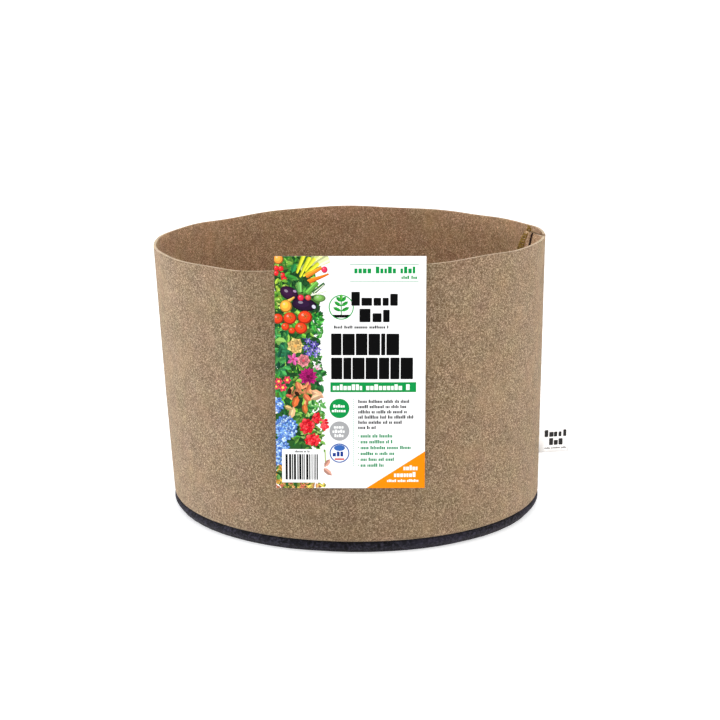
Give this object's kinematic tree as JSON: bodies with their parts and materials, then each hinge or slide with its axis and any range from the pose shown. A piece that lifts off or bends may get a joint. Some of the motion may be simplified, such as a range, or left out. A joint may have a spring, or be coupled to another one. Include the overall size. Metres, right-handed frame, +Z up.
{
  "type": "fabric grow bag",
  "caption": "Round felt plant pot with an open mouth, a sewn base and side seam, a sewn-in tag and a hang-on label card.",
  "frame": {"origin": "centre of the base's flat underside, on the floor", "axes": "+Z up, +X towards the side seam, -Y towards the label card"},
  "size_m": [0.4562, 0.4064, 0.3072],
  "materials": {
    "felt_tan": "matte",
    "felt_charcoal": "matte",
    "thread_gold": "matte",
    "tag_white": "matte",
    "card_print": "satin",
    "hook_paper": "matte"
  },
  "bodies": {
    "bag": {"side_wall": "felt_tan", "base_panel": "felt_charcoal", "base_stitch_thread": "thread_gold", "base_edge_thread": "thread_gold", "side_stitch_thread": "thread_gold", "side_edge_thread": "thread_gold", "seam_tag_root": "tag_white", "label_hook": "hook_paper"},
    "tag": {"seam_tag": "tag_white"},
    "label": {"label_card": "card_print", "label_hook_tab": "hook_paper"}
  },
  "joints": [
    {"name": "label_swing", "type": "hinge", "parent": "bag", "child": "label", "pos_m": [-0.006, -0.19288, 0.29757], "axis": [-1, 0, 0], "range_deg": [0, 90]},
    {"name": "tag_flap", "type": "hinge", "parent": "bag", "child": "tag", "pos_m": [0.20454, -0.02483, 0.072], "axis": [0, 0, 1], "range_deg": [-85, 85], "stiffness_Nm_per_rad": 0.0001}
  ]
}
